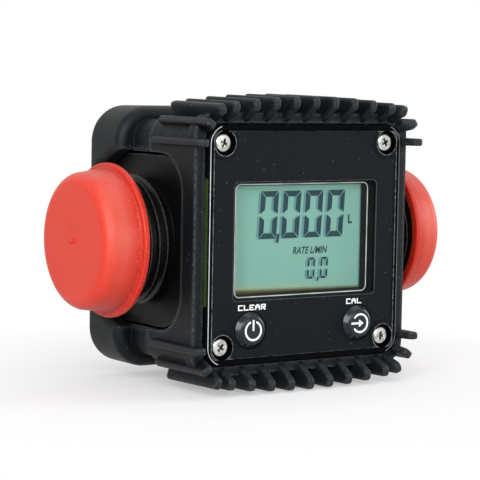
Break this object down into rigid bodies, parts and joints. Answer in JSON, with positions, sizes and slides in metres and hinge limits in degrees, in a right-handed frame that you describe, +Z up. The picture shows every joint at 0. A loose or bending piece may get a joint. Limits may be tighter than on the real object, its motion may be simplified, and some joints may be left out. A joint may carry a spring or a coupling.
{
  "type": "volumetric flow meter",
  "caption": "In-line turbine flow meter with a square display head, finned rubber guard, rubber rear shell and red push-on caps on its threaded ports.",
  "frame": {"origin": "On the standing surface, under the middle of the bounding box; the flow axis runs 37.4 mm above it.", "axes": "X along the flow axis from inlet to outlet, Y from the display face to the back, Z up."},
  "size_m": [0.1074, 0.0494, 0.0748],
  "materials": {
    "body_plastic": "satin moulded glass-filled plastic, black",
    "guard_rubber": "matte black moulded rubber",
    "cap_polyethylene": "red soft polyethylene",
    "clear_cover": "clear acrylic",
    "label_film": "fine matte black printed film",
    "key_film": "embossed black film",
    "screw_nickel": "bright nickel plate",
    "lcd_glass": "grey-green reflective display glass",
    "reflector_foil": "matte foil",
    "case_plastic": "moulded black plastic",
    "seal_rubber": "silicone rubber",
    "board_laminate": "green solder mask",
    "component_black": "moulded component",
    "cell_can": "plain wrapped can",
    "contact_brass": "sprung plate",
    "rotor_plastic": "natural acetal",
    "bush_plastic": "bearing plastic",
    "shaft_steel": "ground stainless steel",
    "magnet_nickel": "nickel-plated magnet"
  },
  "bodies": {
    "meter": {"turbine_body": "body_plastic", "inlet_port_end": "body_plastic", "outlet_port_end": "body_plastic", "electronics_case": "case_plastic", "case_gasket": "seal_rubber", "circuit_board": "board_laminate", "controller_chip": "component_black", "pulse_sensor": "component_black", "lcd_panel": "lcd_glass", "lcd_reflector": "reflector_foil", "lcd_strips": "seal_rubber", "lcd_frame": "case_plastic", "upper_cell": "cell_can", "lower_cell": "cell_can", "cell_contacts": "contact_brass", "front_cover": "clear_cover", "face_label": "label_film", "cover_screws": "screw_nickel", "finned_guard": "guard_rubber", "rear_shell": "guard_rubber", "reset_switch": "component_black", "calibrate_switch": "component_black", "inlet_straightener": "rotor_plastic", "outlet_straightener": "rotor_plastic", "inlet_bearing_bush": "bush_plastic", "outlet_bearing_bush": "bush_plastic", "inlet_retaining_ring": "shaft_steel", "outlet_retaining_ring": "shaft_steel"},
    "rotor": {"turbine_rotor": "rotor_plastic", "rotor_shaft": "shaft_steel", "rotor_magnets": "magnet_nickel"},
    "reset_button": {"reset_key": "key_film", "reset_plunger": "component_black"},
    "calibrate_button": {"calibrate_key": "key_film", "calibrate_plunger": "component_black"},
    "inlet_plug": {"inlet_cap": "cap_polyethylene"},
    "outlet_plug": {"outlet_cap": "cap_polyethylene"}
  },
  "joints": [
    {"name": "rotor_spin", "type": "hinge", "parent": "meter", "child": "rotor", "pos_m": [0, 0.00525, 0.0374], "axis": [1, 0, 0], "continuous": true},
    {"name": "reset_press", "type": "slide", "parent": "meter", "child": "reset_button", "axis": [0, 1, 0], "range_m": [0, 0.00035], "stiffness_N_per_m": 1500},
    {"name": "calibrate_press", "type": "slide", "parent": "meter", "child": "calibrate_button", "axis": [0, 1, 0], "range_m": [0, 0.00035], "stiffness_N_per_m": 1500},
    {"name": "inlet_cap_pull", "type": "slide", "parent": "meter", "child": "inlet_plug", "axis": [-1, 0, 0], "range_m": [0, 0.06]},
    {"name": "outlet_cap_pull", "type": "slide", "parent": "meter", "child": "outlet_plug", "axis": [1, 0, 0], "range_m": [0, 0.06]}
  ]
}
